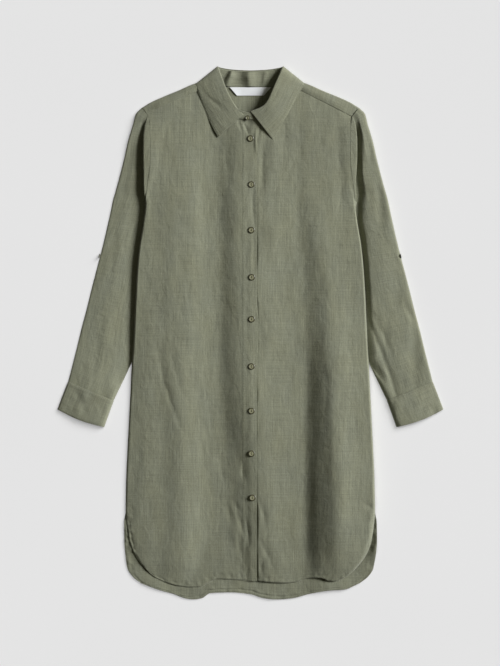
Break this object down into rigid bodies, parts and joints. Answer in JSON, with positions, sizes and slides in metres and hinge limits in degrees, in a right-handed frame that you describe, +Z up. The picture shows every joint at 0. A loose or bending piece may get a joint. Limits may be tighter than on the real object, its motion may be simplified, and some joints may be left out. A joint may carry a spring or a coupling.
{
  "type": "tunic top",
  "caption": "Loose long-sleeved linen tunic top with turned-down collar, buttoned front band, cuffs and a curved hem longer at the back, laid flat on its back.",
  "frame": {"origin": "middle of the garment's box at the surface that it lies on, so z = 0 is its underside", "axes": "+X towards the wearer's left side, +Y from hem to collar, +Z up out of the front"},
  "size_m": [0.7172, 0.9895, 0.0292],
  "materials": {
    "linen": "sage green plain-weave linen with slubs, matt",
    "satin_tape": "off-white woven satin tape, bare",
    "horn_button": "olive-brown horn-look resin, semi-gloss"
  },
  "bodies": {
    "root": {"back": "linen", "yoke": "linen", "front_right": "linen", "front_left": "linen", "placket": "linen", "sleeve_right": "linen", "sleeve_left": "linen", "cuff_right": "linen", "cuff_left": "linen", "collar_stand": "linen", "collar_leaf": "linen", "label": "satin_tape", "button_1": "horn_button", "button_2": "horn_button", "button_3": "horn_button", "button_4": "horn_button", "button_5": "horn_button", "button_6": "horn_button", "button_7": "horn_button", "button_8": "horn_button", "button_9": "horn_button", "button_neck": "horn_button", "tab_button_right": "horn_button", "tab_button_left": "horn_button"}
  },
  "joints": []
}
